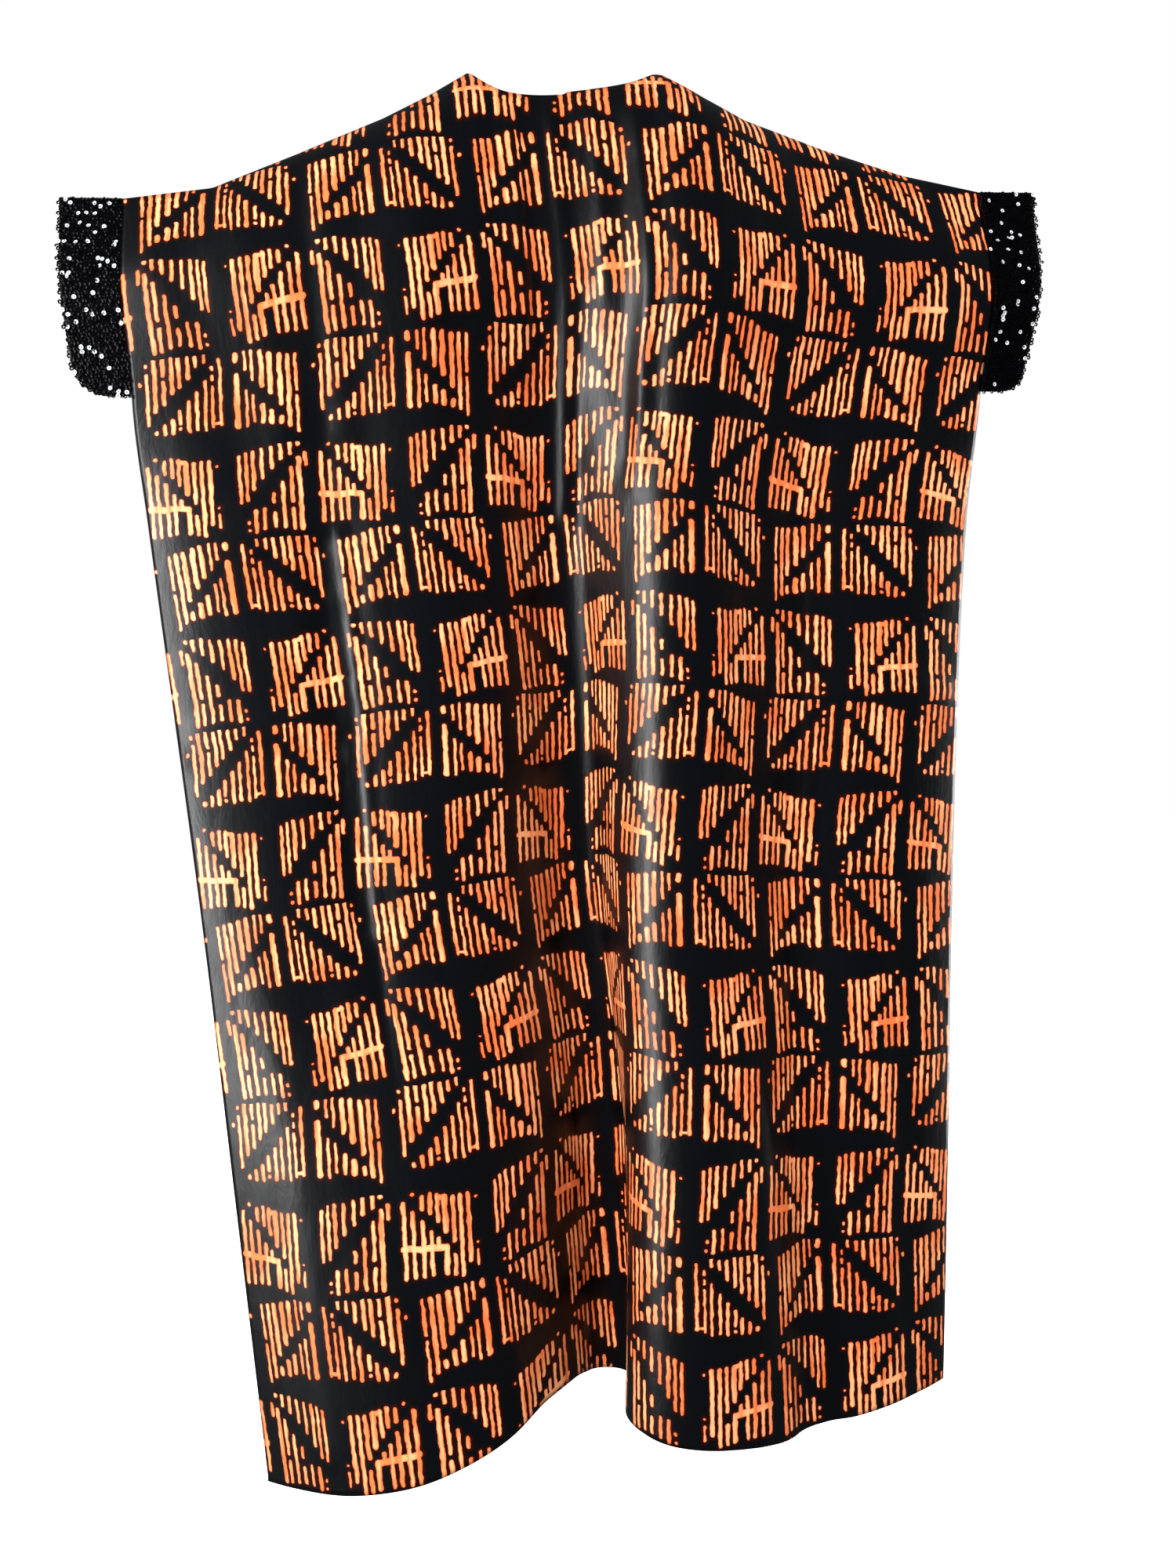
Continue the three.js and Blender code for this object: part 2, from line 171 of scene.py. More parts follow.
class Panel:
    """One width of cloth: where each point of it lies once the dress hangs."""

    def __init__(self, sign, folds, neck):
        self.sign = sign
        self.neck = neck
        self.plans = [plan_of(level, folds, sign) for level in LEVELS]

    def ridge(self, across):
        """Where the shoulder seam lies over a thread, and the height of the datum thread."""
        from_centre = np.abs(across - CENTRE)
        out, left, right, thread = (
            np.interp(from_centre, SHOULDER["from_centre"], SHOULDER[name])
            for name in ("out", "left_seam", "right_seam", "thread")
        )
        return np.sign(across - CENTRE) * out, np.where(across < CENTRE, left, right), thread

    def top(self, across):
        """Distance down the cloth of the panel's top edge, negative above the datum thread."""
        _, seam, thread = self.ridge(across)
        share = np.minimum(1, np.abs(across - CENTRE) / NECK_HALF)
        dip = 1 - share ** self.neck["power"]
        return thread - seam + self.neck["drop"] * dip

    def hem(self, across):
        """Distance down the cloth of the hem, eased over 40 mm of cloth."""
        near = [np.interp(across + step, HEM["across"], HEM["down"]) for step in HEM_EASE]
        return np.mean(near, axis=0)

    def point(self, across, down):
        """Places points of the cloth, in millimetres."""
        across, down = np.broadcast_arrays(np.asarray(across, float), np.asarray(down, float))
        shape = across.shape
        across, down = across.ravel(), down.ravel()
        ridge_x, seam, thread = self.ridge(across)
        z = thread - down
        xs = [np.interp(across, plan[0], plan[1]) for plan in self.plans]
        ys = [np.interp(across, plan[0], plan[2]) for plan in self.plans]
        x = smooth_down(LEVEL_HEIGHTS, xs, z)
        y = smooth_down(LEVEL_HEIGHTS, ys, z)
        drop = np.maximum(0, seam - z)
        settled = 1 - np.exp(-drop / SHOULDER_SETTLE)
        rounded = 1 - np.exp(-drop / SHOULDER_ROUND)
        place = np.stack([ridge_x + (x - ridge_x) * settled, y * rounded, z], 1)
        return place.reshape(shape + (3,))

    def outward(self, across, down, near=2):
        """Unit normals of the hanging cloth, pointing out of the dress."""
        along = self.point(across + near, down) - self.point(across - near, down)
        fall = self.point(across, down + near) - self.point(across, down - near)
        normal = self.sign * np.cross(fall, along)
        return normal / np.linalg.norm(normal, axis=-1, keepdims=True)




# How much a crease bows for its length, how long its ends fade, and how far from the neck and
# the side seams the creases are eased out.
CREASE_BOW = 0.06
CREASE_FADE = 40
TOP_EASE = 30
SIDE_EASE = 14


def crease_height(creases, across, down):
    """Height of the creases over the hanging form, in millimetres."""
    total = np.zeros(across.shape)
    for a0, d0, a1, d1, width, height in creases:
        length = math.hypot(a1 - a0, d1 - d0)
        ux, uy = (a1 - a0) / length, (d1 - d0) / length
        along = (across - a0) * ux + (down - d0) * uy
        bow = CREASE_BOW * length * np.sin(math.pi * np.clip(along / length, 0, 1))
        bow *= math.copysign(1, height)
        aside = (across - a0) * uy - (down - d0) * ux + 0.25 * bow
        fade = np.clip(along / CREASE_FADE + 0.5, 0, 1)
        fade = fade * np.clip((length - along) / CREASE_FADE + 0.5, 0, 1)
        total += height * np.exp(-((aside / width) ** 2)) * fade * fade * (3 - 2 * fade)
    return total


def pucker_height(across, down):
    """Small uneven puckers beside the two stitched lines."""
    total = np.zeros(across.shape)
    for line, phase in ((LEFT_LINE, 0.0), (RIGHT_LINE, 1.9)):
        aside = np.abs(across - line)
        within = np.clip((down - STITCHED_FROM) / 25, 0, 1)
        within = within * np.clip((STITCHED_TO - down) / 25, 0, 1)
        wave = np.sin(down / 5.1 + phase) + 0.7 * np.sin(down / 8.3 + 2 * phase + across / 23)
        total += 0.55 * wave * within * np.exp(-((aside - 7) / 8) ** 2)
    return total


def relief(panel, creases, across, down):
    """Height of creases and puckers, with the creases eased out at the neck and side seams."""
    from_top = np.clip((down - panel.top(across)) / TOP_EASE, 0, 1)
    from_side = np.clip(np.minimum(across, PANEL_WIDTH - across) / SIDE_EASE, 0, 1)
    creased = crease_height(creases, across, down) * from_top * from_side
    return creased + pucker_height(across, down)


def print_rise(across, down):
    """How far the print sits above its straight rows, where hems and folds draw the cloth."""
    rise = 15 * np.exp(-(((across - 482) / 55) ** 2)) * np.clip((1150 - down) / 450, 0, 1)
    rise += 7 * np.exp(-(((across - 400) / 45) ** 2)) * np.clip((220 - down) / 150, 0, 1)
    rise += 15 * np.clip((-5 - down) / 35, 0, 1)
    rise -= 12 * np.clip((down - 950) / 300, 0, 1) * np.clip((380 - across) / 120, 0, 1)
    return rise


GRID_COLUMNS = 200
GRID_ROWS = 232
SATIN_THICKNESS = 0.6


def cloth_sheet(name, panel, creases):
    """Cuts a flat grid of cloth, then hangs it: every point goes where the panel says."""
    bm = bmesh.new()
    bmesh.ops.create_grid(
        bm, x_segments=GRID_COLUMNS, y_segments=GRID_ROWS, size=0.5, calc_uvs=False)
    flat = np.array([v.co[:2] for v in bm.verts]) + 0.5
    across = flat[:, 0] * PANEL_WIDTH
    top = panel.top(across)
    down = top + (1 - flat[:, 1]) * (panel.hem(across) - top)
    height = relief(panel, creases, across, down)
    place = panel.point(across, down) + panel.outward(across, down) * height[:, None]
    uv = bm.loops.layers.uv.new("cloth")
    for v, at, a, d in zip(bm.verts, place, across, down + print_rise(across, down)):
        v.co = Vector(at) * MM
        for loop in v.link_loops:
            loop[uv].uv = (a * MM, d * MM)
    if panel.sign > 0:
        bmesh.ops.reverse_faces(bm, faces=bm.faces)
    mesh = bpy.data.meshes.new(name)
    bm.to_mesh(mesh)
    bm.free()
    piece = bpy.data.objects.new(name, mesh)
    bpy.context.scene.collection.objects.link(piece)
    piece.data.shade_smooth()
    thick = piece.modifiers.new("satin", "SOLIDIFY")
    thick.thickness = SATIN_THICKNESS * MM
    thick.offset = 1
    thick.material_offset = 1
    return piece


def linear(hex_colour):
    """An sRGB hex colour as the linear RGBA that Blender's sockets take."""
    parts = [int(hex_colour[i:i + 2], 16) / 255 for i in (1, 3, 5)]
    return tuple(p / 12.92 if p <= 0.04045 else ((p + 0.055) / 1.055) ** 2.4 for p in parts) + (1,)


def add(tree, kind, *values, out=0, **settings):
    """Adds a node with its settings. Each value is linked or set on the next live socket."""
    node = tree.nodes.new("ShaderNode" + kind)
    for key, value in settings.items():
        setattr(node, key, value)
    for socket, value in zip([s for s in node.inputs if s.enabled], values):
        if isinstance(value, bpy.types.NodeSocket):
            tree.links.new(value, socket)
        elif value is not None:
            socket.default_value = value
    return [s for s in node.outputs if s.enabled][out]


# The print, charted in millimetres: hatched squares, two to a repeat across. A row below is one
# bar: its middle, half its width, then the top and bottom of up to three strokes.
REPEAT_ACROSS = 176
ROW_PITCH = 94
PRINT_START = 19
MIRROR_AT = 150
BAR_LEAN = 0.04
BAR_REACH = 7
CHART_LEFT = -8
STEM_SQUARES = [
    (0, 2.4, 7, 43, 46, 85),
    (8, 3.0, 6, 79),
    (16, 3.3, 5, 57, 66, 76),
    (26, 3.6, 3, 45.5, 58, 75),
    (34.7, 3.2, 1, 36.5, 52, 73),
    (44, 2.2, 0, 29, 41.5, 70.5),
    (51, 2.3, 0.5, 19, 36.6, 75),
    (60.7, 3.6, 19.4, 74.4, 0.7, 10.6),
    (77.5, 2.5, 4.6, 70.7),
    (85.5, 2.2, 29, 72, 19, 25.4, 10.7, 16),
    (92.5, 2.3, -3.5, 8.7, 23, 75),
    (101, 2.5, 0, 12, 33, 74),
    (109, 2.8, 0.5, 21.6, 42, 75.5),
    (118, 2.8, -2, 29.5, 50, 67, 68.7, 72.8),
    (125.4, 2.9, -0.6, 36, 58.5, 76),
    (134, 2.8, -2, 17, 19.6, 44.7, 63.5, 76),
    (142.8, 3.1, -3, 51.5, 69, 75),
    (151, 2.6, 10.8, 64, 2, 6.7),
    (158.6, 2.4, 18.5, 23.3),
]
BRANCH_SQUARES = [
    (-1, 2.8, 9, 25),
    (6, 3.2, 13.5, 90, -0.6, 4.7),
    (14, 2.8, -0.8, 13, 23, 61, 65, 88.7),
    (23.4, 2.8, -0.5, 18, 37.5, 87),
    (33, 2.7, 2, 26, 48, 60.6, 68, 86),
    (43, 2.5, 3, 35, 64, 87),
    (52, 2.8, 3.4, 46, 65, 90),
    (59, 2.4, 5, 57, 75.7, 80, 84.5, 88),
    (65.6, 2.5, 8, 59),
    (87.5, 2.2, 66, 82, 16.5, 19.5, 59, 61.5),
    (95.2, 3.0, 11, 78),
    (103.3, 2.9, 11, 89),
    (110.8, 2.8, 10.6, 55.7, 64.5, 87),
    (118.9, 3.6, 9, 46, 55, 85),
    (126.4, 2.8, 6.5, 34.6, 47, 59),
    (133.3, 2.8, 5, 26, 40, 83),
    (141.4, 2.9, 6, 21.6, 28.7, 83),
    (150.7, 2.8, 19, 83.4, 2, 6),
    (159.5, 2.9, 10, 83),
]
# Strokes that run across the bars: from, to, height at the start, slope, half thickness.
STEM_JOIN = (77.5, 85.5, 67, 0.1, 1.7)
BRANCH = (119.5, 161, 58, -0.11, 3.3)
BRANCH_JOIN = (118.9, 126.4, 11.5, -0.1, 2.6)
BARE = (0, 0)
NO_STROKE = (100, -10)
CHART_OFFSET = 10
CHART_SPAN = 110
HALF_WIDTH_SPAN = 10
INK_DRAWN_IN = 0.5


def bar_slots(bars):
    """Where each bar's stretch of the repeat starts, with bare cloth between far ones."""
    slots = []
    for i, bar in enumerate(bars):
        low = bar[0] - BAR_REACH
        if i and bars[i - 1][0] + BAR_REACH > low:
            low = (bars[i - 1][0] + bar[0]) / 2
        elif i:
            slots.append((bars[i - 1][0] + BAR_REACH, BARE))
        slots.append((low, bar))
    return slots + [(bars[-1][0] + BAR_REACH, BARE)]


def chart(tree, bars, position, numbers):
    """A ramp in steps that gives three numbers of the bar at a place across the repeat."""
    node = tree.nodes.new("ShaderNodeValToRGB")
    node.color_ramp.interpolation = "CONSTANT"
    tree.links.new(position, node.inputs[0])
    elements = node.color_ramp.elements
    elements.remove(elements[-1])
    for i, (left, bar) in enumerate(bar_slots(bars)):
        place = max(0.0, (left - CHART_LEFT) / REPEAT_ACROSS)
        element = elements.new(place) if i else elements[0]
        element.position = place
        strokes = (bar[2:] + NO_STROKE * 3)[:6]
        element.color = (*numbers(bar, strokes), 1)
    return node.outputs[0]


def bar_middle(bar, strokes):
    half_width = (bar[1] - INK_DRAWN_IN) / HALF_WIDTH_SPAN
    return (bar[0] + CHART_OFFSET) / REPEAT_ACROSS, half_width, 0


def stroke_tops(bar, strokes):
    return [(v + CHART_OFFSET) / CHART_SPAN for v in strokes[0::2]]


def stroke_bottoms(bar, strokes):
    return [(v + CHART_OFFSET) / CHART_SPAN for v in strokes[1::2]]


def printed_squares(tree):
    """Signed distance in millimetres from the edge of the print's nearest stroke."""
    def calc(operation, *values):
        return add(tree, "Math", *values, operation=operation)

    def vector(operation, *values):
        return add(tree, "VectorMath", *values, operation=operation)

    def pick(share, low, high):
        return calc("MULTIPLY_ADD", calc("SUBTRACT", high, low), share, low)

    cloth = add(tree, "UVMap", uv_map="cloth")
    flat = vector("SCALE", cloth, 1000)
    # Hand-cut edges: they wander over 12 mm of cloth, and bars swell and thin over 8 mm.
    shake = add(tree, "TexNoise", flat, 0.085, 2.0, out=1, noise_dimensions="2D")
    shake = vector("SUBTRACT", shake, (0.5, 0.5, 0.5))
    shaken = vector("MULTIPLY_ADD", shake, (2.6, 3.4, 0), flat)
    across = add(tree, "SeparateXYZ", shaken, out=0)
    down = add(tree, "SeparateXYZ", shaken, out=1)
    # Four rows of squares to a repeat down. The lower two are mirrored, and every second one
    # has the branched stroke.
    row = calc("FLOOR", calc("DIVIDE", calc("WRAP", down, 4 * ROW_PITCH, 0), ROW_PITCH))
    y = calc("WRAP", down, ROW_PITCH, 0)
    mirrored = calc("GREATER_THAN", row, 1.5)
    branched = calc("WRAP", row, 2, 0)
    placed = calc("SUBTRACT", across, PRINT_START)
    turned = pick(mirrored, placed, calc("SUBTRACT", MIRROR_AT, placed))
    leaned = calc("MULTIPLY_ADD", y, -BAR_LEAN, turned)
    x = calc("WRAP", leaned, CHART_LEFT + REPEAT_ACROSS, CHART_LEFT)
    position = calc("DIVIDE", calc("SUBTRACT", x, CHART_LEFT), REPEAT_ACROSS)
    looked_up = []
    for numbers in (bar_middle, stroke_tops, stroke_bottoms):
        stem = chart(tree, STEM_SQUARES, position, numbers)
        branch = chart(tree, BRANCH_SQUARES, position, numbers)
        step = vector("MULTIPLY_ADD", vector("SUBTRACT", branch, stem), None, stem)
        tree.links.new(branched, step.node.inputs[1])
        looked_up.append(step)
    middle = add(tree, "SeparateXYZ", looked_up[0])
    middle = calc("MULTIPLY_ADD", middle, REPEAT_ACROSS, -CHART_OFFSET)
    swell = add(tree, "TexNoise", flat, 0.13, 1.0, noise_dimensions="2D")
    half = calc("MULTIPLY", add(tree, "SeparateXYZ", looked_up[0], out=1), HALF_WIDTH_SPAN)
    half = calc("ADD", half, calc("MULTIPLY", calc("SUBTRACT", swell, 0.5), 1.8))
    span, offset = (CHART_SPAN,) * 3, (-CHART_OFFSET,) * 3
    tops = vector("MULTIPLY_ADD", looked_up[1], span, offset)
    bottoms = vector("MULTIPLY_ADD", looked_up[2], span, offset)
    inset = add(tree, "CombineXYZ", *[calc("SUBTRACT", y, half)] * 3)
    outset = add(tree, "CombineXYZ", *[calc("ADD", y, half)] * 3)
    past = vector("MAXIMUM", vector("SUBTRACT", tops, inset), vector("SUBTRACT", outset, bottoms))
    past = vector("MAXIMUM", past, (0, 0, 0))
    ends = [add(tree, "SeparateXYZ", past, out=k) for k in range(3)]
    nearest = calc("MINIMUM", calc("MINIMUM", ends[0], ends[1]), ends[2])
    aside = calc("SUBTRACT", x, middle)

    def reach(a, b, thickness):
        square = calc("MULTIPLY_ADD", a, a, calc("MULTIPLY", b, b))
        return calc("SUBTRACT", calc("SQRT", square), thickness)

    def cross_stroke(start, end, height, slope, thickness):
        beyond = calc("MAXIMUM", calc("SUBTRACT", start, x), calc("SUBTRACT", x, end))
        line = calc("MULTIPLY_ADD", calc("SUBTRACT", x, start), slope, height)
        return reach(calc("MAXIMUM", beyond, 0), calc("SUBTRACT", y, line), thickness)

    bars = reach(aside, nearest, half)
    limbs = calc("MINIMUM", cross_stroke(*BRANCH), cross_stroke(*BRANCH_JOIN))
    crossing = pick(branched, cross_stroke(*STEM_JOIN), limbs)
    return flat, calc("SMOOTH_MIN", bars, crossing, 1.2)


def satin(name, right_side):
    """Polyester satin with inks printed over a black ground. Its long floats give a smooth,
    stretched shine on the right side, and the wrong side is duller with the print paler."""
    material = bpy.data.materials.new(name)
    material.use_nodes = True
    tree = material.node_tree
    shader = tree.nodes["Principled BSDF"]
    flat, edge = printed_squares(tree)
    ground = linear("#050609" if right_side else "#141519")
    gap = linear("#220502" if right_side else "#2a120d")
    rim = linear("#060203" if right_side else "#1b1416")
    rich = linear("#e2562a" if right_side else "#8a4a2c")
    deep = linear("#ee7c46" if right_side else "#9c5c36")
    light = linear("#ffb980" if right_side else "#b77a4c")

    def blend(share, a, b):
        return add(tree, "Mix", share, a, b, data_type="RGBA")

    def over(low, high):
        return add(tree, "MapRange", edge, low, high, 0.0, 1.0)

    # The inks change in patches 60 mm wide, and in streaks 7 mm wide along the bars.
    patches = add(tree, "TexNoise", flat, 0.016, 3.0, noise_dimensions="2D")
    along = add(tree, "VectorMath", flat, (1, 0.12, 1), operation="MULTIPLY")
    streak = add(tree, "TexNoise", along, 0.14, 2.0, noise_dimensions="2D")
    small = add(tree, "Math", streak, 0.5, operation="MULTIPLY")
    tone = add(tree, "Math", patches, 0.5, small, operation="MULTIPLY_ADD")
    tone = add(tree, "MapRange", tone, 0.42, 0.58, 0.0, 1.0)
    inside = blend(over(-0.2, -1.2), rich, blend(tone, deep, light))
    colour = blend(over(2.6, 2.0), ground, gap)
    colour = blend(over(0.9, 0.5), colour, rim)
    colour = blend(over(0.15, -0.35), colour, inside)
    tree.links.new(colour, shader.inputs["Base Color"])
    shader.inputs["Roughness"].default_value = 0.37 if right_side else 0.6
    shader.inputs["Specular IOR Level"].default_value = 0.35 if right_side else 0.2
    # Soft crumples 10 to 60 mm across.
    hung = add(tree, "VectorMath", flat, (1, 0.45, 1), operation="MULTIPLY")
    crumple = add(tree, "TexNoise", hung, 0.024, 5.0, 0.56, 2.1, 0.2, noise_dimensions="2D")
    bump = add(tree, "Bump", 0.4)
    bump.node.inputs["Distance"].default_value = 3.5 * MM
    tree.links.new(crumple, bump.node.inputs["Height"])
    tree.links.new(bump, shader.inputs["Normal"])
    return material


right_side = satin("printed_satin_right_side", True)
wrong_side = satin("printed_satin_wrong_side", False)


def finish_panel(piece, panel, node):
    """Gives a panel its two sides, attaches it and hides its solid; returns its flat size and cloth
    area.
    """
    piece.data.materials.append(right_side)
    piece.data.materials.append(wrong_side)
    across = np.arange(0, PANEL_WIDTH + 1, 1.0)
    lengths = panel.hem(across) - panel.top(across)
    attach(piece, "root")
    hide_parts(node)
    flat = (PANEL_WIDTH * MM, float(lengths.max()) * MM)
    return flat, float(lengths.mean()) * PANEL_WIDTH * MM * MM


# The back: hung from the shoulder seams, with a shallow neckline. It falls in one deep valley
# and a roll beside it.
BACK_NECK = {"drop": 31, "power": 6.0}

# Headings of the cloth in degrees from +X, at the shoulder, the chest, the knee and the hem.
# Rows with a True set the corner at a stitched line, and hold only where it is stitched.
BACK_FOLDS = [
    # across, shoulder, chest, knee, hem, at a stitched line
    (0, -20, -16, -30, -34, False),
    (98, -6, 0, -18, -24, False),
    (190, -4, 4, 2, 2, True),
    (192, -4, -22, -26, -26, True),
    (230, -3, -12, 10, 14, False),
    (270, -2, -4, 20, 28, False),
    (332, 8, 16, 38, 46, False),
    (403, 12, 36, 54, 56, False),
    (440, 2, -10, -6, -2, False),
    (476, -16, -60, -90, -104, False),
    (515, -20, -59, -88, -98, False),
    (545, -20, -54, -70, -66, False),
    (570, -14, -38, -50, -52, False),
    (613, 6, 4, -12, -16, False),
    (663, 20, 36, 22, 14, False),
    (720, 14, 22, 34, 24, False),
    (752, 4, 6, 42, 46, False),
    (757, 4, 10, 30, 30, True),
    (759, 4, -18, -26, -26, True),
    (786, 0, -8, -14, 14, False),
    (814, 2, -2, -10, 2, False),
    (842, 6, 2, 10, 14, False),
    (949, 20, 16, 30, 36, False),
]

# Soft creases, one by one: from one place on the cloth to another, how wide, and how high a ridge.
# Negative heights are troughs. Ends fade out.
BACK_CREASES = [
    # across, down, to across, to down, width, height
    (190, 280, 182, 10, 16, 4.0),
    (175, 375, 177, 800, 16, 7.5),
    (193, 360, 193, 800, 6, -2.5),
    (212, 350, 212, 800, 14, 1.5),
    (10, 560, 180, 575, 12, -2.5),
    (12, 590, 175, 600, 14, 2.0),
    (110, 366, 194, 374, 7, -2.5),
    (120, 392, 188, 383, 7, 2.5),
    (140, 806, 198, 796, 8, -2.5),
    (762, 354, 840, 348, 8, -2.5),
    (60, 40, 110, 330, 24, 3.0),
    (120, 30, 150, 300, 20, -2.5),
    (250, 10, 235, 330, 22, 3.0),
    (300, -20, 296, 420, 24, -3.0),
    (345, 0, 338, 520, 20, 2.5),
    (392, -30, 388, 300, 12, 3.0),
    (410, -40, 404, 240, 9, -3.0),
    (428, -45, 424, 200, 8, 2.6),
    (454, -52, 447, 380, 9, -6.0),
    (468, -50, 462, 330, 8, 2.5),
    (492, -50, 498, 160, 7, -2.2),
    (520, -30, 528, 340, 15, 4.0),
    (537, -25, 546, 360, 9, -3.5),
    (560, -40, 566, 300, 12, 2.4),
    (640, 20, 655, 460, 20, 2.5),
    (700, 0, 715, 380, 24, -3.0),
    (748, 360, 752, 800, 11, 2.6),
    (762, 360, 764, 800, 10, -2.4),
    (790, 20, 765, 340, 20, 3.0),
    (860, 30, 800, 330, 24, 2.5),
    (900, 60, 860, 300, 18, -2.0),
    (770, 560, 940, 545, 13, -2.0),
    (120, 820, 240, 1300, 26, 3.0),
    (60, 760, 90, 1300, 24, -2.5),
    (300, 900, 320, 1310, 22, 2.5),
    (690, 900, 700, 1310, 18, -2.5),
    (880, 780, 900, 1300, 22, 2.5),
    (790, 1040, 800, 1318, 12, 2.0),
]
back = Panel(-1, BACK_FOLDS, BACK_NECK)
back_panel = cloth_sheet("back_panel_cloth", back, BACK_CREASES)
flat, area = finish_panel(back_panel, back, "back_panel")

# The front: the same width of satin with a deeper round neckline, so that a head passes. It
# falls in softer folds of the same kind.
FRONT_NECK = {"drop": 155, "power": 2.4}
FRONT_FOLDS = [
    # across, shoulder, chest, knee, hem, at a stitched line
    (0, 18, 16, 10, 10, False),
    (98, 16, 0, 2, 4, False),
    (190, 18, -14, -14, -14, True),
    (192, 18, 44, 44, 44, True),
    (223, 17, 38, 52, 60, False),
    (258, 15, 26, 10, 10, False),
    (298, 12, 4, -54, -62, False),
    (338, 10, 0, -8, -10, False),
    (383, 8, 16, 56, 62, False),
    (433, 4, 18, 22, 26, False),
    (463, 0, 4, 0, 0, False),
    (508, -4, -10, -56, -62, False),
    (553, -8, -18, -12, -14, False),
    (598, -10, -6, 46, 54, False),
    (648, -12, -2, 14, 16, False),
    (673, -14, -10, -6, -8, False),
    (713, -16, -34, -52, -60, False),
    (757, -18, -44, -44, -44, True),
    (759, -18, 14, 14, 14, True),
    (848, -16, 0, -2, -4, False),
    (949, -18, -16, -10, -10, False),
]
FRONT_CREASES = [
    # across, down, to across, to down, width, height
    (190, 280, 182, 10, 16, 3.5),
    (760, 280, 768, 10, 16, 3.5),
    (250, 20, 238, 330, 22, -2.5),
    (320, 0, 312, 420, 20, 2.5),
    (400, 100, 396, 420, 14, -2.0),
    (474, 110, 474, 1318, 6, 1.4),
    (540, 100, 552, 430, 14, 2.0),
    (640, 10, 650, 440, 22, -2.5),
    (720, 20, 735, 340, 20, 2.5),
    (190, 360, 188, 800, 10, -2.4),
    (762, 360, 764, 800, 10, -2.4),
    (20, 560, 170, 580, 13, -2.0),
    (780, 600, 930, 570, 13, 2.0),
    (110, 820, 130, 1310, 24, 2.5),
    (850, 820, 830, 1310, 24, -2.5),
    (60, 60, 110, 330, 24, 2.5),
    (890, 60, 850, 330, 24, 2.5),
]
front = Panel(1, FRONT_FOLDS, FRONT_NECK)
front_panel = cloth_sheet("front_panel_cloth", front, FRONT_CREASES)
flat, area = finish_panel(front_panel, front, "front_panel")

# ---- Cuffs ----
# A short band of black woven polyester is sewn round each arm opening, with its lower corner
# rounded. Cupped sequins of black film are sewn all over it, with a few painted white among them as
# painted glints.
# By hand, -1 for the left and 1 for the right: the length at the top and the bottom, and the
# radius of the lower corner.
CUFF_LENGTHS = {-1: (62, 54), 1: (62, 45)}
CUFF_CORNERS = {-1: 34, 1: 20}
CUFF_SEAM_GAP = 0.3
CUFF_THICKNESS = 0.9
CUFF_RING_POINTS = 40
CUFF_CUTS = 11


def cuff_length(hand, z):
    """How far a cuff reaches out of the arm opening at a height."""
    top, bottom = CUFF_LENGTHS[hand]
    radius = CUFF_CORNERS[hand]
    low = (ARMHOLE_TOP - z) / (ARMHOLE_TOP - ARMHOLE_BOTTOM)
    corner = np.maximum(0, radius - (z - ARMHOLE_BOTTOM))
    rounding = radius - np.sqrt(radius**2 - corner**2)
    return top + (bottom - top) * low - rounding


def cuff_ring(hand):
    """The arm opening's edge all round: down the back, then up the front."""
    edge = 0 if hand < 0 else PANEL_WIDTH
    _, seam, thread = (values[0] for values in back.ridge(np.array([float(edge)])))
    z = seam - (seam - ARMHOLE_BOTTOM) * np.sin(np.linspace(0, math.pi / 2, CUFF_RING_POINTS))
    down = thread - z
    rounds = [panel.point(edge, down) for panel in (back, front)]
    return np.concatenate([rounds[0], rounds[1][-2:0:-1]])


def black_cloth():
    """Black plain-woven polyester: a dull, near-black ground behind the sequins. Its threads are
    drawn 1 mm apart, coarser than real, so that they show."""
    material = bpy.data.materials.new("black_woven_cuff_cloth")
    material.use_nodes = True
    tree = material.node_tree
    shader = tree.nodes["Principled BSDF"]
    place = add(tree, "TexCoord", out=3)
    weave = add(tree, "TexWave", place, 300.0, wave_type="BANDS", bands_direction="Z")
    shade = add(tree, "Mix", weave, linear("#020203"), linear("#070709"), data_type="RGBA")
    tree.links.new(shade, shader.inputs["Base Color"])
    shader.inputs["Roughness"].default_value = 0.8
    bump = add(tree, "Bump", 0.3)
    bump.node.inputs["Distance"].default_value = 0.2 * MM
    tree.links.new(weave, bump.node.inputs["Height"])
    tree.links.new(bump, shader.inputs["Normal"])
    return material


def sequin_film(name, dark, pale, metallic, gloss):
    """Punched polyester film: hard and glossy, a little different from one sequin to the next.
    Given a white base, it paints glints instead.
    """
    material = bpy.data.materials.new(name)
    material.use_nodes = True
    tree = material.node_tree
    shader = tree.nodes["Principled BSDF"]
    place = add(tree, "TexCoord", out=3)
    cell = add(tree, "TexNoise", place, 260.0)
    shade = add(tree, "Mix", cell, linear(dark), linear(pale), data_type="RGBA")
    tree.links.new(shade, shader.inputs["Base Color"])
    rough = add(tree, "MapRange", cell, 0.3, 0.7, gloss, gloss + 0.15)
    tree.links.new(rough, shader.inputs["Roughness"])
    shader.inputs["Metallic"].default_value = metallic
    shader.inputs["Specular IOR Level"].default_value = 0.3 if metallic else 0.06
    return material


cuff_cloth = black_cloth()
black_film = sequin_film("black_polyester_sequin_film", "#020203", "#060608", 0.0, 0.12)
# A few sequins get a white film: painted glints, white colour standing in for light flashing off
# black sequins.
painted_glint_film = sequin_film("sequin_film_painted_glint", "#eceef2", "#ffffff", 0.25, 0.2)
PAINTED_GLINT_SHARE = 0.06
SEQUIN_RADIUS = 2.3
SEQUIN_PITCH = 3.9
SEQUIN_DEPTH = 0.55
SEQUIN_SCATTER = 0.45
SEQUIN_TILT = 0.16
SEQUIN_START = 1.6
SEQUIN_OVERHANG = 1.2
rng = np.random.default_rng(21)


def loop_lengths(ring):
    """Distances round a closed ring of points, from its first point and back to it."""
    steps = np.linalg.norm(np.roll(ring, -1, axis=0) - ring, axis=1)
    return np.concatenate([[0], np.cumsum(steps)])


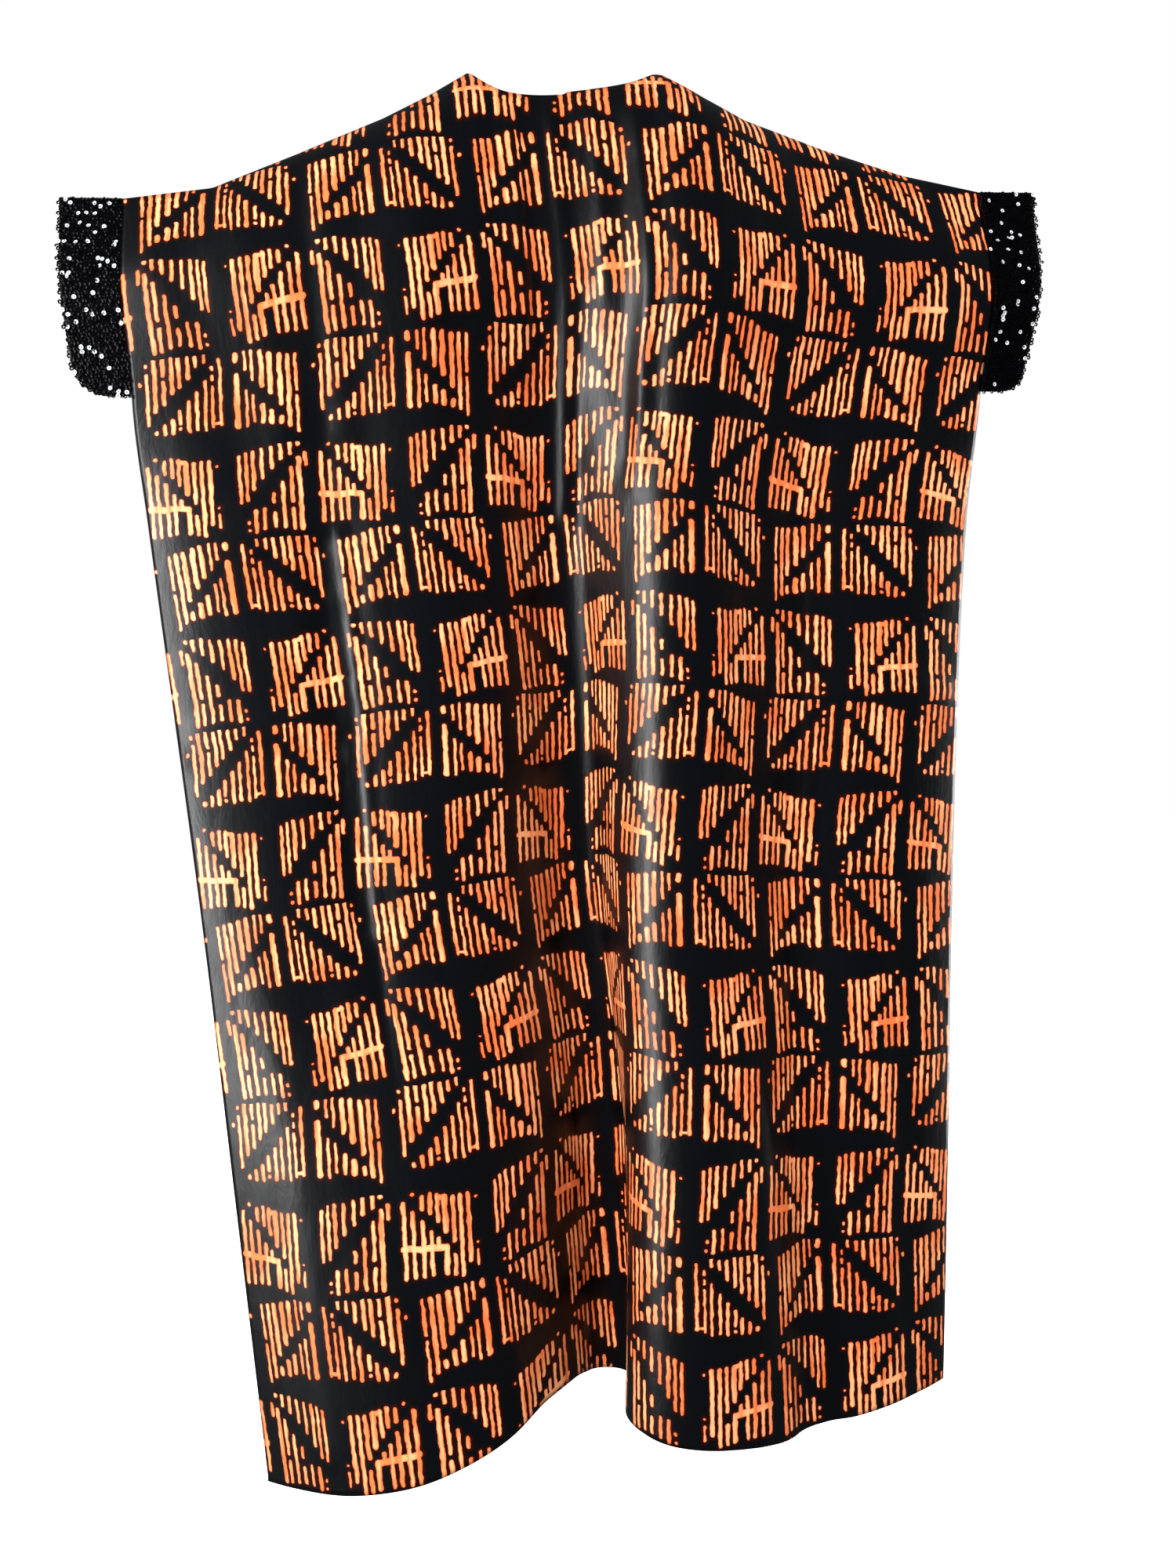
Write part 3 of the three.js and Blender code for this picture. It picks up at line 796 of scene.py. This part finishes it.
def cuff_band(name, hand, ring):
    """A tube one ring of cloth after another, from the seam to the free edge."""
    bm = bmesh.new()
    count = len(ring)
    bmesh.ops.create_cone(bm, cap_ends=False, segments=count, radius1=1, radius2=1, depth=1)
    bm.verts.ensure_lookup_table()
    lengthways = [e for e in bm.edges if abs(e.verts[0].co.z - e.verts[1].co.z) > 0.5]
    bmesh.ops.subdivide_edges(bm, edges=lengthways, cuts=CUFF_CUTS)
    order = {}
    for v in bm.verts:
        angle = math.atan2(v.co.y, v.co.x) % (2 * math.pi)
        order[v] = round(angle / (2 * math.pi) * count) % count
    for v, k in order.items():
        share = v.co.z + 0.5
        x, y, z = ring[k]
        reach = CUFF_SEAM_GAP + share * cuff_length(hand, z)
        v.co = Vector((x + hand * reach, y, z)) * MM
    bmesh.ops.recalc_face_normals(bm, faces=bm.faces)
    mesh = bpy.data.meshes.new(name)
    bm.to_mesh(mesh)
    bm.free()
    piece = bpy.data.objects.new(name, mesh)
    bpy.context.scene.collection.objects.link(piece)
    mesh.shade_smooth()
    thick = piece.modifiers.new("cloth", "SOLIDIFY")
    thick.thickness = CUFF_THICKNESS * MM
    thick.offset = 1
    mesh.materials.append(cuff_cloth)
    return piece


def sequins(name, hand, ring):
    """Cupped sequins with a hole in the middle, sewn on overlapping in staggered rows."""
    around = loop_lengths(ring)
    closed = np.vstack([ring, ring[:1]])
    bm = bmesh.new()
    rows = int(around[-1] / SEQUIN_PITCH)
    for row in range(rows):
        at = (row + 0.5) / rows * around[-1]
        base = np.array([np.interp(at, around, closed[:, k]) for k in range(3)])
        ahead = np.array([np.interp((at + 2) % around[-1], around, closed[:, k]) for k in range(3)])
        tangent = Vector(ahead - base).normalized()
        outward = tangent.cross(Vector((hand, 0, 0))).normalized()
        if outward.y * (1 if at > around[-1] / 2 else -1) < 0:
            outward = -outward
        length = float(cuff_length(hand, base[2])) + SEQUIN_OVERHANG
        out = SEQUIN_START + (row % 2) * SEQUIN_PITCH / 2
        while out < length:
            jitter = rng.normal(0, SEQUIN_SCATTER, 2)
            tilt = rng.normal(0, SEQUIN_TILT, 2)
            lift = 1.5 + rng.uniform(0, 0.5)
            spin = rng.uniform(0, math.pi / 4)
            along = Vector((hand * (CUFF_SEAM_GAP + out + jitter[1]), 0, 0))
            spot = Vector(base) + tangent * jitter[0] + along
            lean = Vector((hand * (0.12 + tilt[1]), 0, 0))
            normal = (outward + tangent * tilt[0] + lean).normalized()
            turn = normal.to_track_quat("Z", "Y").to_matrix().to_4x4()
            turn = turn @ Matrix.Rotation(spin, 4, "Z")
            matrix = Matrix.Translation((spot + outward * lift) * MM) @ turn
            cup = bmesh.ops.create_cone(
                bm, cap_ends=False, segments=8, radius1=0.32 * SEQUIN_RADIUS * MM,
                radius2=SEQUIN_RADIUS * MM, depth=SEQUIN_DEPTH * MM, matrix=matrix)
            # These sequins take the white film, a painted glint.
            if rng.random() < PAINTED_GLINT_SHARE:
                for face in {face for v in cup["verts"] for face in v.link_faces}:
                    face.material_index = 1
            out += SEQUIN_PITCH * rng.uniform(0.92, 1.08)
    mesh = bpy.data.meshes.new(name)
    bm.to_mesh(mesh)
    bm.free()
    piece = bpy.data.objects.new(name, mesh)
    bpy.context.scene.collection.objects.link(piece)
    mesh.materials.append(black_film)
    mesh.materials.append(painted_glint_film)
    return piece


for side, hand in (("left", -1), ("right", 1)):
    ring = cuff_ring(hand)
    band = cuff_band(f"cuff_{side}_band", hand, ring)
    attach(band, "root")
    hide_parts(f"cuff_{side}")
    spangles = sequins(f"cuff_{side}_sequins", hand, ring)
    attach(spangles, "root")

# ---- Stitching ----
# Black polyester thread, sewn by machine along the neck hems, the bottom hems and the two long
# lines that join back and front. Each stitch is a short rounded bar that lies on the cloth.
STITCH_LENGTH = 2.7
STITCH_PITCH = 3.4
THREAD_RADIUS = 0.32
THREAD_STANDS_OFF = 0.75
NECK_HEM = 7
BOTTOM_HEM = 9


def thread_material():
    """Spun polyester thread: a soft black with a faint twist, one turn in about 0.7 mm."""
    material = bpy.data.materials.new("black_polyester_thread")
    material.use_nodes = True
    tree = material.node_tree
    shader = tree.nodes["Principled BSDF"]
    place = add(tree, "TexCoord", out=3)
    twist = add(tree, "TexWave", place, 900.0, wave_type="BANDS", bands_direction="DIAGONAL")
    shade = add(tree, "Mix", twist, linear("#08080a"), linear("#1b1c20"), data_type="RGBA")
    tree.links.new(shade, shader.inputs["Base Color"])
    shader.inputs["Roughness"].default_value = 0.55
    return material


def stitch_row(bm, panel, creases, across, down):
    """Lays stitches along a line on a panel, given as dense points of the cloth."""
    height = relief(panel, creases, across, down) + THREAD_STANDS_OFF
    line = panel.point(across, down) + panel.outward(across, down) * height[:, None]
    steps = np.linalg.norm(np.diff(line, axis=0), axis=1)
    travelled = np.concatenate([[0], np.cumsum(steps)])
    for i in range(int(travelled[-1] / STITCH_PITCH)):
        ends = [i * STITCH_PITCH, i * STITCH_PITCH + STITCH_LENGTH]
        a, b = ([np.interp(e, travelled, line[:, k]) for k in range(3)] for e in ends)
        a, b = Vector(a), Vector(b)
        turn = (b - a).to_track_quat("Z", "Y").to_matrix().to_4x4()
        size = Matrix.Diagonal((THREAD_RADIUS, THREAD_RADIUS, STITCH_LENGTH / 2, 1))
        matrix = Matrix.Scale(MM, 4) @ Matrix.Translation((a + b) / 2) @ turn @ size
        bmesh.ops.create_icosphere(bm, subdivisions=1, radius=1, matrix=matrix)


thread = thread_material()
for side, panel, creases in (("back", back, BACK_CREASES), ("front", front, FRONT_CREASES)):
    bm = bmesh.new()
    neck = np.linspace(CENTRE - NECK_HALF, CENTRE + NECK_HALF, 300)
    stitch_row(bm, panel, creases, neck, panel.top(neck) + NECK_HEM)
    whole = np.linspace(2, PANEL_WIDTH - 2, 1200)
    stitch_row(bm, panel, creases, whole, panel.hem(whole) - BOTTOM_HEM)
    for line in (LEFT_LINE, RIGHT_LINE):
        run = np.linspace(STITCHED_FROM, STITCHED_TO - 5, 600)
        stitch_row(bm, panel, creases, np.full(len(run), float(line)), run)
    mesh = bpy.data.meshes.new(f"{side}_stitching")
    bm.to_mesh(mesh)
    bm.free()
    mesh.shade_smooth()
    stitching = bpy.data.objects.new(f"{side}_stitching", mesh)
    bpy.context.scene.collection.objects.link(stitching)
    mesh.materials.append(thread)
    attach(stitching, "root")

# ---- Floor, light and camera ----
# A plain pale floor under the hanging dress, soft studio light, and the camera. A tall window
# of light at the left gives the bands of shine, and the others only fill.
FLOOR_HEIGHT = -1.52
FLOOR_HALF = 12
mesh = bpy.data.meshes.new("floor")
bm = bmesh.new()
below = Matrix.Translation((0, 0, FLOOR_HEIGHT))
bmesh.ops.create_grid(bm, x_segments=1, y_segments=1, size=FLOOR_HALF, matrix=below)
bm.to_mesh(mesh)
bm.free()
floor = bpy.data.objects.new("floor", mesh)
bpy.context.scene.collection.objects.link(floor)
pale = bpy.data.materials.new("pale_matt_floor")
pale.use_nodes = True
shader = pale.node_tree.nodes["Principled BSDF"]
shader.inputs["Base Color"].default_value = linear("#f4f4f4")
shader.inputs["Roughness"].default_value = 0.9
shader.inputs["Emission Color"].default_value = linear("#ffffff")
shader.inputs["Emission Strength"].default_value = 1.0
mesh.materials.append(pale)
floor.visible_glossy = False
floor.visible_diffuse = False

# White surroundings: full strength behind the dress, and gentler as a light on it.
world = bpy.data.worlds.new("studio")
bpy.context.scene.world = world
world.use_nodes = True
seen = add(world.node_tree, "LightPath")
strength = add(world.node_tree, "MapRange", seen, 0.0, 1.0, 0.08, 1.0)
background = world.node_tree.nodes["Background"]
background.inputs["Color"].default_value = linear("#ffffff")
world.node_tree.links.new(strength, background.inputs["Strength"])
bpy.context.scene.view_settings.view_transform = "Standard"


def softbox(name, place, aim, width, height, power, glossy, diffuse):
    """A soft rectangular lamp. It may show in the gloss, light the cloth, or both."""
    light = bpy.data.lights.new(name, "AREA")
    light.shape = "RECTANGLE"
    light.size, light.size_y = width, height
    light.energy = power
    lamp = bpy.data.objects.new(name, light)
    turn = (Vector(aim) - Vector(place)).to_track_quat("-Z", "Y").to_matrix().to_4x4()
    lamp.matrix_world = Matrix.Translation(place) @ turn
    lamp.visible_glossy = glossy
    lamp.visible_diffuse = diffuse
    bpy.context.scene.collection.objects.link(lamp)


LIGHTS = [
    # name, place, aim, width, height, watts, in the gloss, on the cloth
    ("window", (-2.0, -0.65, -0.55), (0, 0, -0.75), 0.7, 2.3, 70, True, False),
    ("near_left", (-1.2, -0.85, -0.8), (-0.3, 0, -0.75), 0.5, 1.8, 26, False, True),
    ("front", (-1.1, -3.7, 1.2), (0, 0, -0.8), 1.4, 1.4, 215, False, True),
    ("right", (2.6, -1.0, 0.2), (0.3, 0, -0.75), 0.6, 1.6, 38, False, True),
    ("rear_window", (2.0, 0.65, -0.55), (0, 0, -0.75), 0.7, 2.3, 60, True, True),
    ("rear", (0.3, 3.8, 1.2), (0, 0, -0.8), 2.4, 1.6, 225, False, True),
]
for row in LIGHTS:
    softbox(*row)

# The camera stands before the back of the dress, a little to one side and a little rolled.
SWING = math.radians(6.5)
ROLL = math.radians(2.48)
DISTANCE = 1.2223
AIM = Vector((-0.0089, -0.020, -0.7545))
forward = Vector((math.sin(SWING), math.cos(SWING), 0))
level = Vector((math.cos(SWING), -math.sin(SWING), 0))
right = level * math.cos(ROLL) - Vector((0, 0, 1)) * math.sin(ROLL)
up = level * math.sin(ROLL) + Vector((0, 0, 1)) * math.cos(ROLL)
lens = bpy.data.cameras.new("camera")
lens.lens = 27
lens.sensor_width = 36
camera = bpy.data.objects.new("camera", lens)
turn = Matrix((right, up, -forward)).transposed().to_4x4()
camera.matrix_world = Matrix.Translation(AIM - forward * DISTANCE) @ turn
bpy.context.scene.collection.objects.link(camera)
bpy.context.scene.camera = camera
